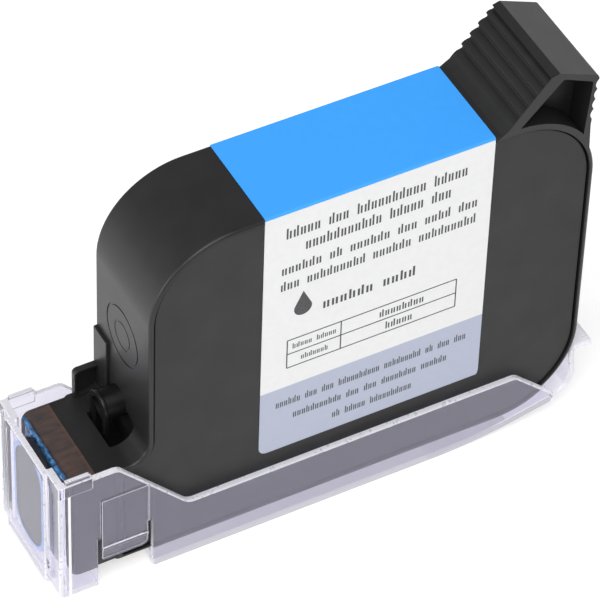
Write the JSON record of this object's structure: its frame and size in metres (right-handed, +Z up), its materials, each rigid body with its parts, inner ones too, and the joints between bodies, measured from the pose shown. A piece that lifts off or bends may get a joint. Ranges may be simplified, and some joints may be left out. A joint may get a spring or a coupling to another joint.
{
  "type": "thermal inkjet print cartridge",
  "caption": "Thin black print cartridge with a ribbed grip and a nozzle snout, standing in a clear clip-on cover with a pull lip; for date coding printers.",
  "frame": {"origin": "centre of the footprint, on the flat bottom of the protective cover", "axes": "+X along the body towards the grip and the cover's pull lip, -Y on the label side, +Z up out of the cover"},
  "size_m": [0.1004, 0.0218, 0.0779],
  "materials": {
    "black_plastic": "fine moulded satin",
    "side_plastic": "even satin",
    "natural_plastic": "natural polypropylene",
    "film": "laminated film",
    "steel": "rolled stainless",
    "silicon": "polished silicon",
    "gold": "electroformed nickel, gold flash",
    "polyimide": "amber brown film over copper tracks",
    "epoxy": "glossy black",
    "label": "printed film label, blue, white and grey-blue",
    "blue_tape": "glossy blue tape",
    "clear_plastic": "clear moulded plastic",
    "seal_rubber": "translucent elastomer"
  },
  "bodies": {
    "cover": {"protective_cover": "clear_plastic", "cap_seal": "seal_rubber"},
    "near_finger": {"near_snap_finger": "clear_plastic"},
    "far_finger": {"far_snap_finger": "clear_plastic"},
    "cartridge": {"outer_frame": "black_plastic", "near_side_cover": "side_plastic", "far_side_cover": "side_plastic", "inner_frame": "natural_plastic", "near_ink_film": "film", "far_ink_film": "film", "bow_spring": "steel", "standpipe": "natural_plastic", "filter_screen": "steel", "printhead_die": "silicon", "orifice_plate": "gold", "flex_circuit": "polyimide", "upper_encapsulant": "epoxy", "lower_encapsulant": "epoxy", "fill_port_ball": "epoxy", "wrap_label": "label"},
    "tape": {"nozzle_tape": "blue_tape"},
    "near_plate": {"near_pressure_plate": "steel"},
    "far_plate": {"far_pressure_plate": "steel"}
  },
  "joints": [
    {"name": "cartridge_lift", "type": "slide", "parent": "cover", "child": "cartridge", "axis": [0, 0, 1], "range_m": [0, 0.03]},
    {"name": "near_finger_flex", "type": "hinge", "parent": "cover", "child": "near_finger", "pos_m": [-0.0375, -0.0102, 0.01965], "axis": [-1, 0, 0], "range_deg": [0, 6], "stiffness_Nm_per_rad": 0.05},
    {"name": "far_finger_flex", "type": "hinge", "parent": "cover", "child": "far_finger", "pos_m": [-0.0375, 0.0102, 0.01965], "axis": [1, 0, 0], "range_deg": [0, 6], "stiffness_Nm_per_rad": 0.05},
    {"name": "nozzle_tape_peel", "type": "slide", "parent": "cartridge", "child": "tape", "axis": [0, 0, 1], "range_m": [0, 0.022]},
    {"name": "near_plate_travel", "type": "slide", "parent": "cartridge", "child": "near_plate", "axis": [0, 1, 0], "range_m": [0, 0.0045], "stiffness_N_per_m": 60, "springref_m": -0.003, "deforming": ["bow_spring"]},
    {"name": "far_plate_travel", "type": "slide", "parent": "cartridge", "child": "far_plate", "axis": [0, 1, 0], "range_m": [-0.0045, 0]}
  ],
  "couplings": [
    {"joint": "far_plate_travel", "follows": "near_plate_travel", "ratio": -1}
  ]
}
